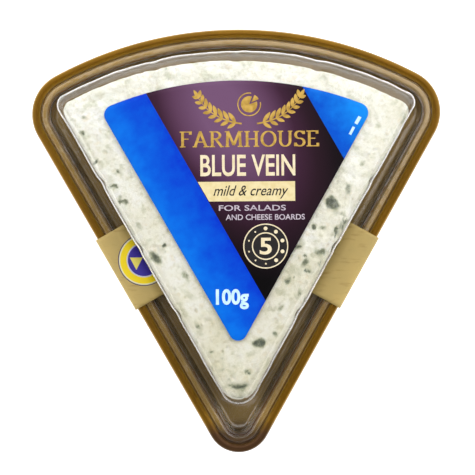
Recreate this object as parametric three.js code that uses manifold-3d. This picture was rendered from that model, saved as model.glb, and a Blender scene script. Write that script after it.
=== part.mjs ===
// A wedge of blue cheese in its retail pack: shallow tray, clear push-fit lid, a label on top of the
// lid and a paper label that wraps under the tray and folds up over its rim on both sides.
// Millimetres, +Z up. The origin is on the table, under the middle of the tray. The wedge's tip
// points to -Y and its curved rind side faces +Y.
import * as THREE from 'three';
import { mergeVertices } from 'three/addons/utils/BufferGeometryUtils.js';
import Module from 'manifold-3d';

const wasm = await Module();
wasm.setup();

// Outline of the tray, seen from above
const LENGTH = 116.3;                                // tip to the middle of the curved end
const HALF_ANGLE = THREE.MathUtils.degToRad(29.5);   // each straight side off the centre line
const ARC_RADIUS = 105.7;                            // curved end
const CORNER_RADIUS = 11.9;
const TIP_RADIUS = 8.8;

// Heights above the table
const FOOT_HEIGHT = 0.6;
const TRAY_WALL = 0.5;
const RIM_HEIGHT = 7.6;                              // crest of the rolled bead
const LEDGE_HEIGHT = 6.4;                            // seat of the lid's flange
const LIP_HEIGHT = 5.2;                              // lower edge of the rolled bead
const CHEESE_HEIGHT = 21.5;
const LID_WALL = 0.4;
const LABEL_THICKNESS = 0.2;
const PAPER_THICKNESS = 0.3;
const GAP = 0.2;                                     // between pieces that lie on each other

// Distances in from the tray's outline
const BEAD_CREST = 1.5;
const BEAD_FOOT = 2.8;                               // where the bead meets the ledge
const WELL_EDGE = 5.0;                               // top of the well's wall
const CHEESE = { side: 11, arc: 10, corner: 2.5, tip: 6.6 };          // edge of the cheese's top
const CHEESE_BULGE = { side: 9.5, arc: 9.7, corner: 3.3, tip: 5.4 };  // its widest, lower down
const CHEESE_SHOULDER = 8;                           // height over which the bulge narrows to the top
const DOME = { side: 8.2, arc: 6.6, corner: 5, tip: 6 };
const LABEL = { side: 18.9, arc: 15.7, corner: 2.7, tip: 2.4 };
const WALL_LEAN = 0.05;                              // inward lean of the lid's wall, per mm of height
const SHOULDER = 2.2;                                // radius between the lid's wall and its top

// Feet and the wrapping label
const FOOT_RADIUS = 4;
const FEET = [[0, 46], [-38, 34], [38, 34], [0, -41]];
const WING_WIDTH = 22;
const WING_CENTRE = 67;                              // along a straight side, from where the sides meet

// Points along each round stretch of an outline
const TIP_STEPS = 8;
const CORNER_STEPS = 8;
const ARC_STEPS = 20;

const FLOOR = FOOT_HEIGHT + TRAY_WALL;               // upper face of the tray's floor
const LID_FLOOR = FLOOR + GAP + LID_WALL;            // upper face of the lid's channel
const CHEESE_BOTTOM = FLOOR + GAP;
const LID_TOP = CHEESE_BOTTOM + CHEESE_HEIGHT + GAP + LID_WALL;
const SHOULDER_BASE = LID_TOP - SHOULDER;

const TIP_GAP = TIP_RADIUS / Math.sin(HALF_ANGLE) - TIP_RADIUS;  // sides' crossing point to the tip
const CROSSING_Y = -TIP_GAP - LENGTH / 2;                        // the straight sides cross here
const ARC_CENTRE_Y = LENGTH / 2 - ARC_RADIUS;

const plastic = (color, roughness) => new THREE.MeshStandardMaterial({ color, roughness, metalness: 0 });
const trayPlastic = plastic(0x6b4a1c, 0.35);
const clearPlastic = new THREE.MeshStandardMaterial({
  color: 0xe8eef0, roughness: 0.08, metalness: 0, transparent: true, opacity: 0.3,
});
const cheesePaste = plastic(0xe9e7cf, 0.6);
const printedFilm = plastic(0x2a2f8a, 0.3);
const kraftPaper = plastic(0xbfa362, 0.85);

// Points on a circle from one angle to another, both ends included
function arcPoints(x, y, radius, from, to, steps) {
  return Array.from({ length: steps + 1 }, (_, i) => {
    const angle = from + ((to - from) * i) / steps;
    return new THREE.Vector2(x + radius * Math.cos(angle), y + radius * Math.sin(angle));
  });
}

// Counter-clockwise wedge: a round tip, two straight sides, two round corners and the curved end.
// `side` and `arc` move it in from the tray's outline, `corner` and `tip` are its own radii.
function wedgeOutline({ side, arc, corner, tip }) {
  const along = new THREE.Vector2(Math.sin(HALF_ANGLE), Math.cos(HALF_ANGLE));
  const inwards = new THREE.Vector2(-Math.cos(HALF_ANGLE), Math.sin(HALF_ANGLE));
  const crossing = new THREE.Vector2(0, CROSSING_Y);
  const arcCentre = new THREE.Vector2(0, ARC_CENTRE_Y);
  const start = crossing.clone().addScaledVector(inwards, side + corner);
  const offset = start.clone().sub(arcCentre);
  const reach = ARC_RADIUS - arc - corner;
  const forward = offset.dot(along);
  const travel = -forward + Math.sqrt(forward ** 2 - offset.lengthSq() + reach ** 2);
  const right = start.clone().addScaledVector(along, travel);
  const turn = Math.atan2(right.y - ARC_CENTRE_Y, right.x);
  const tipY = CROSSING_Y + (side + tip) / Math.sin(HALF_ANGLE);
  return [
    ...arcPoints(0, tipY, tip, Math.PI + HALF_ANGLE, 2 * Math.PI - HALF_ANGLE, TIP_STEPS),
    ...arcPoints(right.x, right.y, corner, -HALF_ANGLE, turn, CORNER_STEPS),
    ...arcPoints(0, ARC_CENTRE_Y, ARC_RADIUS - arc, turn, Math.PI - turn, ARC_STEPS).slice(1, -1),
    ...arcPoints(-right.x, right.y, corner, Math.PI - turn, Math.PI + HALF_ANGLE, CORNER_STEPS),
  ];
}

// Closed skin over a stack of outlines, with a flat face on the first and on the last
function loft(rings) {
  const count = rings[0].points.length;
  const positions = [];
  const faces = [];
  for (const { points, z } of rings) {
    for (const point of points) positions.push(point.x, point.y, z);
  }
  for (let ring = 0; ring + 1 < rings.length; ring += 1) {
    for (let i = 0; i < count; i += 1) {
      const a = ring * count + i;
      const b = ring * count + ((i + 1) % count);
      faces.push(a, b, b + count, a, b + count, a + count);
    }
  }
  const last = (rings.length - 1) * count;
  const middle = positions.length / 3;
  positions.push(0, 0, rings[0].z, 0, 0, rings.at(-1).z);
  for (let i = 0; i < count; i += 1) {
    const next = (i + 1) % count;
    faces.push(middle, next, i, middle + 1, last + i, last + next);
  }
  const geometry = new THREE.BufferGeometry();
  geometry.setAttribute('position', new THREE.Float32BufferAttribute(positions, 3));
  geometry.setIndex(faces);
  return geometry;
}

// An outline that follows the tray's, `inset` further in, at height z
function rimRing(inset, z) {
  const corner = CORNER_RADIUS - inset;
  const tip = TIP_RADIUS - inset;
  return { points: wedgeOutline({ side: inset, arc: inset, corner, tip }), z };
}

// An outline that follows the lid's dome, `inset` further in, at height z
function domeRing(inset, z) {
  const { side, arc, corner, tip } = DOME;
  const moved = { side: side + inset, arc: arc + inset, corner: corner - inset, tip: tip - inset };
  return { points: wedgeOutline(moved), z };
}

function extrudeOutline(outline, bottom, height) {
  const geometry = new THREE.ExtrudeGeometry(new THREE.Shape(outline), { depth: height, bevelEnabled: false });
  return geometry.translate(0, 0, bottom);
}

function toSolid(geometry) {
  const bare = geometry.clone();
  bare.deleteAttribute('normal');
  bare.deleteAttribute('uv');
  const merged = mergeVertices(bare, 1e-4);
  return new wasm.Manifold(new wasm.Mesh({
    numProp: 3,
    vertProperties: new Float32Array(merged.attributes.position.array),
    triVerts: new Uint32Array(merged.index.array),
  }));
}

function fromSolid(solid) {
  const { vertProperties, triVerts } = solid.getMesh();
  const geometry = new THREE.BufferGeometry();
  geometry.setAttribute('position', new THREE.BufferAttribute(vertProperties, 3));
  geometry.setIndex(new THREE.BufferAttribute(triVerts, 1));
  geometry.computeVertexNormals();
  return geometry;
}

// One sheet: floor, well wall, ledge and rolled bead, up the outside and back down the inside
function trayGeometry() {
  const under = LEDGE_HEIGHT - TRAY_WALL;
  const shell = loft([
    rimRing(7.0, FOOT_HEIGHT),
    rimRing(5.6, FOOT_HEIGHT + 0.4),
    rimRing(5.1, FOOT_HEIGHT + 1.3),
    rimRing(WELL_EDGE - TRAY_WALL, under - 0.6),
    rimRing(WELL_EDGE - 0.9, under),
    rimRing(BEAD_FOOT - 0.2, under),
    rimRing(BEAD_CREST + 0.7, RIM_HEIGHT - 0.8),
    rimRing(BEAD_CREST, RIM_HEIGHT - TRAY_WALL),
    rimRing(0.8, RIM_HEIGHT - 0.9),
    rimRing(TRAY_WALL, RIM_HEIGHT - 1.5),
    rimRing(TRAY_WALL, LIP_HEIGHT),
    rimRing(0, LIP_HEIGHT),
    rimRing(0, RIM_HEIGHT - 1.3),
    rimRing(0.4, RIM_HEIGHT - 0.5),
    rimRing(BEAD_CREST - 0.5, RIM_HEIGHT - 0.05),
    rimRing(BEAD_CREST, RIM_HEIGHT),
    rimRing(BEAD_CREST + 0.7, RIM_HEIGHT - 0.25),
    rimRing(BEAD_FOOT - 0.2, LEDGE_HEIGHT + 0.3),
    rimRing(BEAD_FOOT, LEDGE_HEIGHT),
    rimRing(WELL_EDGE - 0.6, LEDGE_HEIGHT),
    rimRing(WELL_EDGE, LEDGE_HEIGHT - 0.6),
    rimRing(5.5, FLOOR + 1.1),
    rimRing(5.9, FLOOR + 0.3),
    rimRing(6.6, FLOOR),
  ]);
  const foot = new THREE.CylinderGeometry(FOOT_RADIUS + 0.6, FOOT_RADIUS, FLOOR - 0.1, 24);
  foot.rotateX(Math.PI / 2).translate(0, 0, (FLOOR - 0.1) / 2);
  const feet = FEET.map(([x, y]) => toSolid(foot.clone().translate(x, y, 0)));
  return fromSolid(feet.reduce((tray, part) => tray.add(part), toSolid(shell)));
}

// Soft paste that has settled against the lid's wall: full low down, narrower towards its top
function cheeseGeometry() {
  const top = CHEESE_BOTTOM + CHEESE_HEIGHT;
  const blend = (share) => Object.fromEntries(
    Object.entries(CHEESE).map(([name, value]) => [name, value + share * (CHEESE_BULGE[name] - value)]),
  );
  return loft([
    { points: wedgeOutline(CHEESE_BULGE), z: CHEESE_BOTTOM },
    { points: wedgeOutline(CHEESE_BULGE), z: top - CHEESE_SHOULDER },
    { points: wedgeOutline(blend(0.6)), z: top - CHEESE_SHOULDER / 4 },
    { points: wedgeOutline(CHEESE), z: top },
  ]);
}

// One clear sheet: inside of the dome going down, plug and flange, then the outside going back up
function lidGeometry() {
  const plug = WELL_EDGE + GAP;
  const flange = LEDGE_HEIGHT + GAP;
  const lean = WALL_LEAN * (SHOULDER_BASE - LID_FLOOR);
  const round = (inset, radius, base) => [15, 40, 65, 90].map((degrees) => {
    const angle = THREE.MathUtils.degToRad(degrees);
    return domeRing(inset + radius * (1 - Math.cos(angle)), base + radius * Math.sin(angle));
  });
  const inner = round(lean + LID_WALL, SHOULDER - LID_WALL, SHOULDER_BASE).reverse();
  const outer = round(lean, SHOULDER, SHOULDER_BASE);
  return loft([
    ...inner,
    domeRing(lean + LID_WALL, SHOULDER_BASE),
    domeRing(LID_WALL, LID_FLOOR - LID_WALL),
    rimRing(plug + 1.3, LID_FLOOR - LID_WALL),
    rimRing(plug + 0.45, FLOOR + 1.2),
    rimRing(plug, LEDGE_HEIGHT - 0.55),
    rimRing(plug - 0.5, flange),
    rimRing(BEAD_FOOT + 0.15, flange),
    rimRing(BEAD_FOOT + 0.15, flange + LID_WALL),
    rimRing(plug - 0.3, flange + LID_WALL),
    rimRing(plug + LID_WALL, LEDGE_HEIGHT - 0.4),
    rimRing(plug + LID_WALL + 0.45, LID_FLOOR + 0.9),
    rimRing(plug + LID_WALL + 0.6, LID_FLOOR),
    domeRing(0, LID_FLOOR),
    domeRing(lean, SHOULDER_BASE),
    ...outer,
  ]);
}

// Cross-section of one side of the wrapping label, as (distance in from the tray's side, height):
// over the rim from the lid's wall, round the bead, and down to the edge of the tray's floor
function wingSection() {
  const top = RIM_HEIGHT + GAP;
  const reach = DOME.side + WALL_LEAN * (top - LID_FLOOR) - GAP;
  const inside = [
    [7.0, FOOT_HEIGHT - GAP], [6.0, FOOT_HEIGHT - 0.05], [5.2, FOOT_HEIGHT + 0.4], [-0.2, LIP_HEIGHT - 0.1],
    [-0.2, RIM_HEIGHT - 1.1], [0.3, RIM_HEIGHT - 0.3], [1.0, top], [reach, top],
  ];
  const outside = [
    [reach, top + PAPER_THICKNESS], [0.9, top + PAPER_THICKNESS], [0.05, RIM_HEIGHT - 0.1],
    [-0.5, RIM_HEIGHT - 1.1], [-0.5, LIP_HEIGHT - 0.25], [5.0, FOOT_HEIGHT + 0.15], [5.9, FOOT_HEIGHT - 0.35],
    [7.0, FOOT_HEIGHT - GAP - PAPER_THICKNESS],
  ];
  return [...inside, ...outside].map(([x, y]) => new THREE.Vector2(x, y));
}

// One wing, on the right side (sign 1) or the left side (sign -1) of the tray
function wingGeometry(sign) {
  const inwards = new THREE.Vector3(-sign * Math.cos(HALF_ANGLE), Math.sin(HALF_ANGLE), 0);
  const up = new THREE.Vector3(0, 0, 1);
  const along = inwards.clone().cross(up);
  const middle = new THREE.Vector3(sign * Math.sin(HALF_ANGLE), Math.cos(HALF_ANGLE), 0)
    .multiplyScalar(WING_CENTRE)
    .add(new THREE.Vector3(0, CROSSING_Y, 0));
  const section = new THREE.Shape(wingSection());
  const place = new THREE.Matrix4().makeBasis(inwards, up, along).setPosition(middle);
  return new THREE.ExtrudeGeometry(section, { depth: WING_WIDTH, bevelEnabled: false })
    .translate(0, 0, -WING_WIDTH / 2)
    .applyMatrix4(place);
}

// The panel under the tray, between the two wings: a trapezium that reaches a little into each
function panelGeometry() {
  const inset = 6.9;
  const corner = (sign, along) => new THREE.Vector2(
    sign * (Math.sin(HALF_ANGLE) * along - Math.cos(HALF_ANGLE) * inset),
    CROSSING_Y + Math.cos(HALF_ANGLE) * along + Math.sin(HALF_ANGLE) * inset,
  );
  const near = WING_CENTRE - WING_WIDTH / 2;
  const far = WING_CENTRE + WING_WIDTH / 2;
  const outline = [corner(1, near), corner(1, far), corner(-1, far), corner(-1, near)];
  return extrudeOutline(outline, FOOT_HEIGHT - GAP - PAPER_THICKNESS, PAPER_THICKNESS);
}

function wrapGeometry() {
  const wings = [1, -1].map((sign) => toSolid(wingGeometry(sign)));
  return fromSolid(wings.reduce((label, wing) => label.add(wing), toSolid(panelGeometry())));
}

function addPiece(group, name, geometry, material) {
  const mesh = new THREE.Mesh(geometry, material);
  mesh.name = name;
  group.add(mesh);
}

const pack = new THREE.Group();
addPiece(pack, 'tray', trayGeometry(), trayPlastic);
addPiece(pack, 'cheese_wedge', cheeseGeometry(), cheesePaste);
addPiece(pack, 'clear_lid', lidGeometry(), clearPlastic);
addPiece(pack, 'top_label', extrudeOutline(wedgeOutline(LABEL), LID_TOP + GAP, LABEL_THICKNESS), printedFilm);
addPiece(pack, 'kraft_wrap_label', wrapGeometry(), kraftPaper);

export default pack;
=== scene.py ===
# %% [markdown]
# # A wedge of blue cheese in its retail pack
#
# The real thing is a 100 g wedge of blue-veined cheese. It lies in a shallow thermoformed tray, under a
# clear thermoformed lid that pushes into the tray. A printed label is stuck on the lid, and a kraft
# paper label runs under the tray and folds up over its rim on both sides, so the pack can't be opened
# unseen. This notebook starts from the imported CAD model, which fixes every size and place. Each cell
# then replaces one plain solid with a finished surface, in the same frame.
#
# All shapes are worked out in millimetres with numpy and turned to metres when the mesh is made.

# %% Load the frame
import math

import bpy
import numpy as np
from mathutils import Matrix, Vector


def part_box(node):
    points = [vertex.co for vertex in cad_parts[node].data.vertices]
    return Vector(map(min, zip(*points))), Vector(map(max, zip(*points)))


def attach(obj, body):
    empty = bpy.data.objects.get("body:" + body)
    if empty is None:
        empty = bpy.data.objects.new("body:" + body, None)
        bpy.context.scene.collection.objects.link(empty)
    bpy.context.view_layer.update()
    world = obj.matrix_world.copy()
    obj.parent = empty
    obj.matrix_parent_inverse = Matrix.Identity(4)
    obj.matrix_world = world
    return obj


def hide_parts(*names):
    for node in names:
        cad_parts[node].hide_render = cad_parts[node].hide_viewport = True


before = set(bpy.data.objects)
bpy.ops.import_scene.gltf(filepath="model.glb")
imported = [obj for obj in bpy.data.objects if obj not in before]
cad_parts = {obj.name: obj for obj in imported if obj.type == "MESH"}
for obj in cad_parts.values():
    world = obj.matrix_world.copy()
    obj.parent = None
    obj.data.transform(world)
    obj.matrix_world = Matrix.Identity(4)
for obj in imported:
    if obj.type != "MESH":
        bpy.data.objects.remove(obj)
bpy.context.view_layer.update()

MM = 0.001
print("nodes in the frame:", sorted(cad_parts))

# %% [markdown]
# ## Sizes that everything shares
#
# A maker draws the pack as one outline, seen from above: two straight sides that would cross just
# beyond the tip, a large arc at the rind side and rounded corners. Every ring of the tray and the lid
# is that outline moved in by some distance. So the driving sizes are few: the angle of the sides, the
# arc's radius, the corner radii, and the heights, which come from the frame's boxes.

# %% Driving sizes, in millimetres
def box_mm(node):
    """Lowest and highest corner of a CAD node, in millimetres."""
    low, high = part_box(node)
    return np.array(low) / MM, np.array(high) / MM


tray_low, tray_high = box_mm("tray")
lid_low, lid_high = box_mm("clear_lid")
cheese_low, cheese_high = box_mm("cheese_wedge")
wrap_low, wrap_high = box_mm("kraft_wrap_label")

HALF_ANGLE = math.radians(29.5)
ARC_RADIUS = 105.7
CORNER_RADIUS = 11.9
TIP_RADIUS = 8.8
LENGTH = tray_high[1] - tray_low[1]
RIM_TOP = tray_high[2]
LID_TOP = lid_high[2]
LIP_BOTTOM = 5.2
LEDGE = 6.4
TRAY_SHEET = 0.45
LID_SHEET = 0.2
FLOOR_TOP = lid_low[2] - 0.2
CROSSING_Y = -LENGTH / 2 - TIP_RADIUS * (1 / math.sin(HALF_ANGLE) - 1)
ARC_CENTRE_Y = LENGTH / 2 - ARC_RADIUS
print(f"tray {LENGTH:.1f} mm long, rim {RIM_TOP:.1f} mm and lid {LID_TOP:.1f} mm above the table")

# %% [markdown]
# ## The camera
#
# The pack is seen from straight above, turned half a degree. A long lens about 45 cm away keeps the
# lid's walls just visible, as they are on a product shot, and the framing is given by how many
# millimetres of the tray's rim plane the picture's width covers.

# %% Camera
VIEW_WIDTH = 130.15
VIEW_HEIGHT = 450.0
VIEW_CENTRE = (0.06, 0.93)
VIEW_TURN = math.radians(-0.5)


def make_camera():
    data = bpy.data.cameras.new("product_camera")
    data.sensor_width = 36.0
    data.lens = data.sensor_width * VIEW_HEIGHT / VIEW_WIDTH
    camera = bpy.data.objects.new("product_camera", data)
    bpy.context.scene.collection.objects.link(camera)
    camera.location = (VIEW_CENTRE[0] * MM, VIEW_CENTRE[1] * MM, (RIM_TOP + VIEW_HEIGHT) * MM)
    camera.rotation_euler = (0.0, 0.0, VIEW_TURN)
    bpy.context.scene.camera = camera
    return data.lens


print(f"lens {make_camera():.1f} mm")

# %% [markdown]
# ## Two helpers for materials
#
# Colours are picked as sRGB hex values, the way a swatch book gives them, and one function turns them
# to the linear values that Blender's shaders use. One more function adds a node with its settings and
# its inputs, so that each material reads as a short list.

# %% Material helpers
RAMP = "ShaderNodeValToRGB"


def srgb(hex_code):
    """Linear RGBA of a hex colour: v / 12.92 when dark, else ((v + 0.055) / 1.055) ^ 2.4."""
    value = np.array([int(hex_code[i : i + 2], 16) for i in (0, 2, 4)]) / 255.0
    linear = np.where(value <= 0.04045, value / 12.92, ((value + 0.055) / 1.055) ** 2.4)
    return (*linear.tolist(), 1.0)


def add(tree, kind, inputs=None, stops=(), **settings):
    """Adds a node. Each input is given by name or number, as a value or as another node's output.

    `stops` are the (position, colour) pairs of a Color Ramp, in rising order."""
    made = tree.nodes.new(kind)
    for key, value in settings.items():
        setattr(made, key, value)
    for key, value in (inputs or {}).items():
        if isinstance(value, bpy.types.NodeSocket):
            tree.links.new(value, made.inputs[key])
        else:
            made.inputs[key].default_value = value
    for count, (position, colour) in enumerate(stops):
        elements = made.color_ramp.elements
        element = elements[count] if count < len(elements) else elements.new(position)
        element.position = position
        element.color = colour
    return made


def new_material(name):
    """An empty node material with its output node and an Object-coordinate socket."""
    material = bpy.data.materials.new(name)
    material.use_nodes = True
    tree = material.node_tree
    tree.nodes.clear()
    output = tree.nodes.new("ShaderNodeOutputMaterial")
    place = tree.nodes.new("ShaderNodeTexCoord").outputs["Object"]
    return material, tree, output, place


def tones(stops):
    """Color Ramp stops with their hex colours made linear."""
    return [(position, srgb(hex_code)) for position, hex_code in stops]


print("swatch test, mid grey:", [round(v, 3) for v in srgb("808080")[:3]])

# %% [markdown]
# ## Light and floor
#
# Food packs are shot on a white sweep under big soft boxes. The boxes stand round the pack and not
# straight above it, because flat film mirrors whatever is above it, and a box there would grey the
# label. The strongest box is behind the rind side, and it puts the golden line on the tray's bead.
# An area light is the plain way to make one: its size sets how soft the shadows are.

# %% Soft boxes
def soft_box(name, place, size, power, target=(0.0, 0.0, 0.01)):
    """An area light at `place` metres, turned to face the target."""
    data = bpy.data.lights.new(name, "AREA")
    data.shape = "RECTANGLE"
    data.size, data.size_y = size
    data.energy = power
    light = bpy.data.objects.new(name, data)
    bpy.context.scene.collection.objects.link(light)
    way = np.array(target) - np.array(place)
    pitch = math.acos(-way[2] / np.linalg.norm(way))
    light.location = place
    light.rotation_euler = (pitch, 0.0, math.atan2(-way[0], way[1]))
    return light


soft_box("back_box", (0.12, 0.62, 0.62), (1.0, 0.5), 2.2)
soft_box("left_box", (-0.62, 0.0, 0.50), (0.5, 0.8), 1.1)
soft_box("right_box", (0.62, 0.1, 0.50), (0.5, 0.8), 1.4)
soft_box("front_box", (0.0, -0.60, 0.45), (0.9, 0.4), 0.25)

# %% [markdown]
# ## The sky over the set
#
# Clear film and glossy sheet show what surrounds them, so the world is built as a photographer hangs
# cloth: a bright ring of it overhead, with a dark gap in the middle. Flat film mirrors the gap and
# stays clear. The gap leans to the lower left, so the film near the right corner mirrors the cloth and
# is veiled. A picture of a studio would do the same, but one dot product with the gap's direction and
# a Color Ramp need no file. The light also rises from the tip side to the rind side.

# %% Sky
SKY_GAP = (-0.10, -0.12, 0.988)
SKY = [(0.0, 0.4), (0.78, 0.4), (0.84, 0.9), (0.968, 0.9), (0.983, 0.03)]
SKY_STRENGTH = 1.6


def make_sky():
    """World light: grey level by the cosine from the gap's middle, times a rise along Y."""
    world = bpy.data.worlds.new("studio")
    world.use_nodes = True
    tree = world.node_tree
    way = add(tree, "ShaderNodeTexCoord").outputs["Generated"]
    part = add(tree, "ShaderNodeSeparateXYZ", {0: way})
    from_gap = add(tree, "ShaderNodeVectorMath", {0: way, 1: SKY_GAP}, operation="DOT_PRODUCT")
    greys = [(at, (level, level, level, 1.0)) for at, level in SKY]
    sky = add(tree, RAMP, {"Fac": from_gap.outputs["Value"]}, greys).outputs["Color"]
    rise = {"From Min": -0.5, "From Max": 0.5, "To Min": 0.4, "To Max": 1.45}
    side = add(tree, "ShaderNodeMapRange", {"Value": part.outputs["Y"], **rise})
    lit = add(tree, "ShaderNodeVectorMath", {0: sky, "Scale": side.outputs[0]}, operation="SCALE").outputs[0]
    background = tree.nodes["Background"]
    tree.links.new(lit, background.inputs["Color"])
    background.inputs["Strength"].default_value = SKY_STRENGTH
    bpy.context.scene.world = world
    bpy.context.scene.view_settings.view_transform = "Standard"


make_sky()
print("sky levels by the cosine from the gap:", SKY)

# %% [markdown]
# ## Surfaces from outlines
#
# The tray and the lid are thermoformed: one flat sheet drawn over a mould. A mould like this is a
# profile carried round an outline, so a grid of points does it: one row per profile point, one column
# per point of the outline. The same outline function serves every ring, because moving the outline in
# only changes its radii.

# %% The outline
SECTION_STEPS = {"tip": 24, "side": 30, "corner": 24, "arc": 110}


def wedge_outline(side, arc, corner, tip, steps=SECTION_STEPS):
    """Counter-clockwise wedge and its inward normals, as two (N, 2) arrays.

    The tip circle touches both sides: its centre is (side + tip) / sin(half angle) from where the
    sides cross. A corner circle is `side + corner` from its side and `arc + corner` from the arc."""
    along = np.array([math.sin(HALF_ANGLE), math.cos(HALF_ANGLE)])
    inward = np.array([-math.cos(HALF_ANGLE), math.sin(HALF_ANGLE)])
    start = np.array([0.0, CROSSING_Y]) + inward * (side + corner)
    offset = start - np.array([0.0, ARC_CENTRE_Y])
    reach = ARC_RADIUS - arc - corner
    forward = offset @ along
    right = start + along * (-forward + math.sqrt(forward**2 - offset @ offset + reach**2))
    turn = math.atan2(right[1] - ARC_CENTRE_Y, right[0])
    tip_centre = (0.0, CROSSING_Y + (side + tip) / math.sin(HALF_ANGLE))

    def bow(centre, radius, first, last, count):
        angle = np.linspace(first, last, count)
        out = np.stack([np.cos(angle), np.sin(angle)], axis=1)
        return np.array(centre) + radius * out, -out

    def side_run(first, last, normal, count):
        share = np.linspace(0.0, 1.0, count + 2)[1:-1, None]
        return first + (last - first) * share, np.tile(normal, (count, 1))

    nose = bow(tip_centre, tip, math.pi + HALF_ANGLE, 2 * math.pi - HALF_ANGLE, steps["tip"])
    right_corner = bow(right, corner, -HALF_ANGLE, turn, steps["corner"])
    back = bow((0.0, ARC_CENTRE_Y), ARC_RADIUS - arc, turn, math.pi - turn, steps["arc"])
    mirrored = np.array([-1.0, 1.0])
    left_corner = [(part * mirrored)[::-1] for part in right_corner]
    right_side = side_run(nose[0][-1], right_corner[0][0], inward, steps["side"])
    left_side = side_run(left_corner[0][-1], nose[0][0], inward * mirrored, steps["side"])
    back = [part[1:-1] for part in back]
    parts = (nose, right_side, right_corner, back, left_corner, left_side)
    return np.concatenate([p[0] for p in parts]), np.concatenate([p[1] for p in parts])


print("points in one outline:", len(wedge_outline(0, 0, CORNER_RADIUS, TIP_RADIUS)[0]))

# %% [markdown]
# ## Profiles
#
# A sheet can't have a sharp bend, so every corner of a profile gets a radius. A Bevel modifier could
# round the finished mesh, but an arc put into the profile itself is exact and gives each bend its own
# radius, as the mould has. Long straight runs are then cut up where the surface is to be shaped.

# %% Profile functions
def rounded(points, radii, bow_steps=7):
    """Polyline with each inner corner turned into an arc of the given radius.

    The arc starts r / tan(half the corner's angle) before the corner and its centre lies
    r / sin(half the corner's angle) from the corner, along the bisector."""
    points = [np.array(p, float) for p in points]
    made = [points[0][None]]
    for before, here, after, radius in zip(points, points[1:], points[2:], radii):
        a = (before - here) / np.linalg.norm(before - here)
        b = (after - here) / np.linalg.norm(after - here)
        half = math.acos(np.clip(a @ b, -1.0, 1.0)) / 2
        middle = here + (a + b) / np.linalg.norm(a + b) * radius / math.sin(half)
        first = here + a * radius / math.tan(half) - middle
        last = here + b * radius / math.tan(half) - middle
        share = np.linspace(0.0, 1.0, bow_steps)[:, None]
        sweep = math.pi - 2 * half
        blend = (np.sin((1 - share) * sweep) * first + np.sin(share * sweep) * last) / math.sin(sweep)
        made.append(middle + blend)
    made.append(points[-1][None])
    return np.concatenate(made)


def refine(line, longest):
    """The same polyline with extra points, so that no step is longer than `longest`."""
    made = [line[:1]]
    for first, last in zip(line, line[1:]):
        count = max(1, math.ceil(np.linalg.norm(last - first) / longest))
        made.append(first + (last - first) * np.linspace(0, 1, count + 1)[1:, None])
    return np.concatenate(made)


print("points of one rounded right angle:", len(rounded([(0, 0), (1, 0), (1, 1)], [0.5])))

# %% [markdown]
# ## Meshes and sheets
#
# A stack of rings becomes one skin of quads, closed at a pole by a fan of triangles. Its points are
# worked out as whole arrays and handed to the mesh at once. A sheet's second face comes from a
# Solidify modifier, which keeps it evenly thick, as the real sheet nearly is.

# %% Mesh functions
# How far from the pole the last rings of a closed face stand, as shares of the ring before them
CLOSING_SHARES = np.array([0.9, 0.6, 0.25])


def make_mesh(name, points, faces, material, smooth=True):
    """An object from points in millimetres and a list of faces, at the origin."""
    mesh = bpy.data.meshes.new(name)
    mesh.from_pydata((np.asarray(points) * MM).tolist(), [], faces)
    mesh.polygons.foreach_set("use_smooth", [smooth] * len(mesh.polygons))
    mesh.materials.append(material)
    mesh.update()
    piece = bpy.data.objects.new(name, mesh)
    bpy.context.scene.collection.objects.link(piece)
    return piece


def grid_faces(rows, columns, closed):
    """Quads of a grid of points, wrapped from the last column to the first if it is closed."""
    row, column = np.meshgrid(np.arange(rows - 1), np.arange(columns if closed else columns - 1))
    a = (row * columns + column).ravel()
    b = (row * columns + (column + 1) % columns).ravel()
    return np.stack([a, b, b + columns, a + columns], axis=1).tolist()


def ring_skin(name, rings, material, start_pole=False, end_pole=False):
    """A skin over a (rows, columns, 3) stack of rings, each pole a fan to the ring's middle."""
    rows, columns, _ = rings.shape
    points = rings.reshape(-1, 3)
    faces = grid_faces(rows, columns, closed=True)
    here = np.arange(columns)
    after = (here + 1) % columns
    if start_pole:
        points = np.vstack([points, rings[0].mean(axis=0)])
        faces += np.stack([np.full(columns, len(points) - 1), after, here], axis=1).tolist()
    if end_pole:
        points = np.vstack([points, rings[-1].mean(axis=0)])
        last = (rows - 1) * columns
        faces += np.stack([last + here, last + after, np.full(columns, len(points) - 1)], axis=1).tolist()
    return make_mesh(name, points, faces, material)


def solidify(piece, thickness):
    """Gives a sheet its thickness, behind the face that was modelled."""
    modifier = piece.modifiers.new("sheet_thickness", "SOLIDIFY")
    modifier.thickness = thickness * MM
    modifier.offset = -1.0
    modifier.use_even_offset = True
    return piece


def smooth_step(value):
    """0 below 0, 1 above 1, and 3v^2 - 2v^3 between."""
    v = np.clip(value, 0.0, 1.0)
    return v * v * (3 - 2 * v)


def hand_over(piece, slot, *nodes):
    """Rides a finished piece on the pack and hides the CAD solids it stands for. The slot argument is not
    used.
    """
    if nodes:
        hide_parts(*nodes)
    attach(piece, "root")
    print(f"{piece.name}: {len(piece.data.vertices)} points, {len(piece.data.polygons)} faces")


print("quads in a closed grid of 3 rows and 8 columns:", len(grid_faces(3, 8, closed=True)))

# %% [markdown]
# ## The tray's sheet
#
# The tray is drawn from opaque PET sheet with gold-bronze pearl pigment. The pigment makes the sheet
# half metallic: brown where it is flat, gold where a bend catches the soft boxes. A ramp over the height
# paints light into the brown: a painted highlight on the ledge's ridge and the bead's outer flank, and a
# painted reflection that veils the channel floor. Towards the tip the colour is darkened into painted
# shade. The pearl flakes are 0.6 mm in the noise, coarser than real ones, so that they show.

# %% Bronze pearl sheet
PAINTED_SHEEN_SPAN = 8.0
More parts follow.
